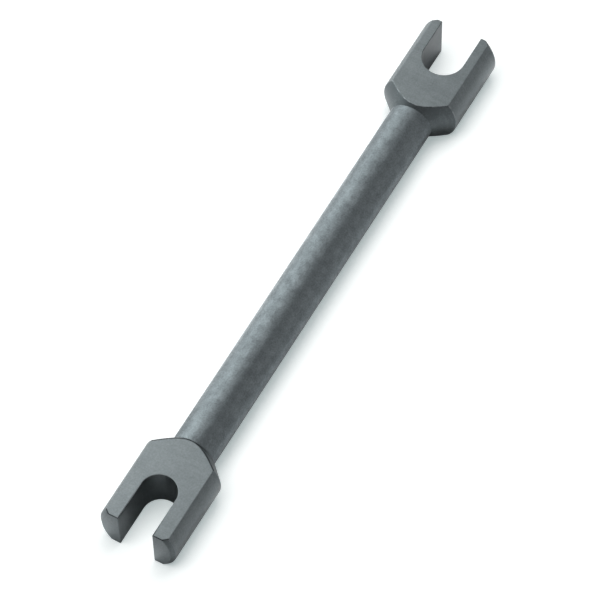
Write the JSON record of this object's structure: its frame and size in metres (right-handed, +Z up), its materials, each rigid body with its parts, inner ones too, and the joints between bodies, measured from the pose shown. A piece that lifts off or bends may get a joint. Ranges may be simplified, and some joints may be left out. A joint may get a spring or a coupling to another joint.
{
  "type": "spoke wrench",
  "caption": "Double-ended spoke wrench: a round steel shank with a flat-sided, U-slotted jaw head pressed on to each end, a smaller and a larger slot, for turning spoke nipples.",
  "frame": {"origin": "midway between the two jaw tips, on the plane of the heads' undersides", "axes": "+X along the shank from the small jaw to the large jaw, +Z up, square to the milled flats"},
  "size_m": [0.1, 0.0126, 0.0078],
  "materials": {
    "drawn_bar": "drawn round steel bar, blackened, satin with a mottled skin",
    "machined_head": "turned and milled steel, blackened, satin with worn edges"
  },
  "bodies": {
    "root": {"shank": "drawn_bar", "small_jaw_head": "machined_head", "large_jaw_head": "machined_head"}
  },
  "joints": []
}
